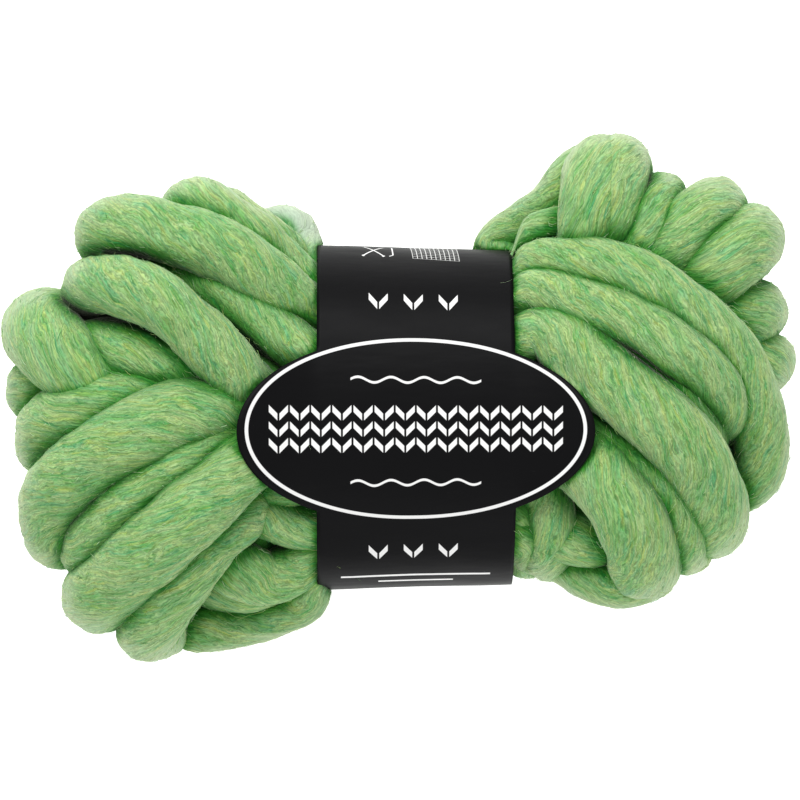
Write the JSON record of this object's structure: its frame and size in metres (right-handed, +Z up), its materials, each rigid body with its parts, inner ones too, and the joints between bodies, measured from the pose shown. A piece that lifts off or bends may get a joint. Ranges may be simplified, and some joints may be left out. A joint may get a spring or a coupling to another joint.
{
  "type": "yarn skein",
  "caption": "Bow-tie skein of thick, lightly twisted roving yarn, wound in fat loops and held at the waist by a wide paper band with an oval front.",
  "frame": {"origin": "on the surface it rests on, under the middle of the skein's box", "axes": "+X along the skein from the left lobe to the right one, +Y to the upper edge of the band's front, +Z up out of the band's oval front"},
  "size_m": [0.3193, 0.213, 0.1317],
  "materials": {
    "roving": "soft heathered green roving, fuzzy and matte",
    "paper": "black coated paper with a soft sheen and a white keyline"
  },
  "bodies": {
    "root": {"yarn": "roving", "band": "paper"}
  },
  "joints": []
}
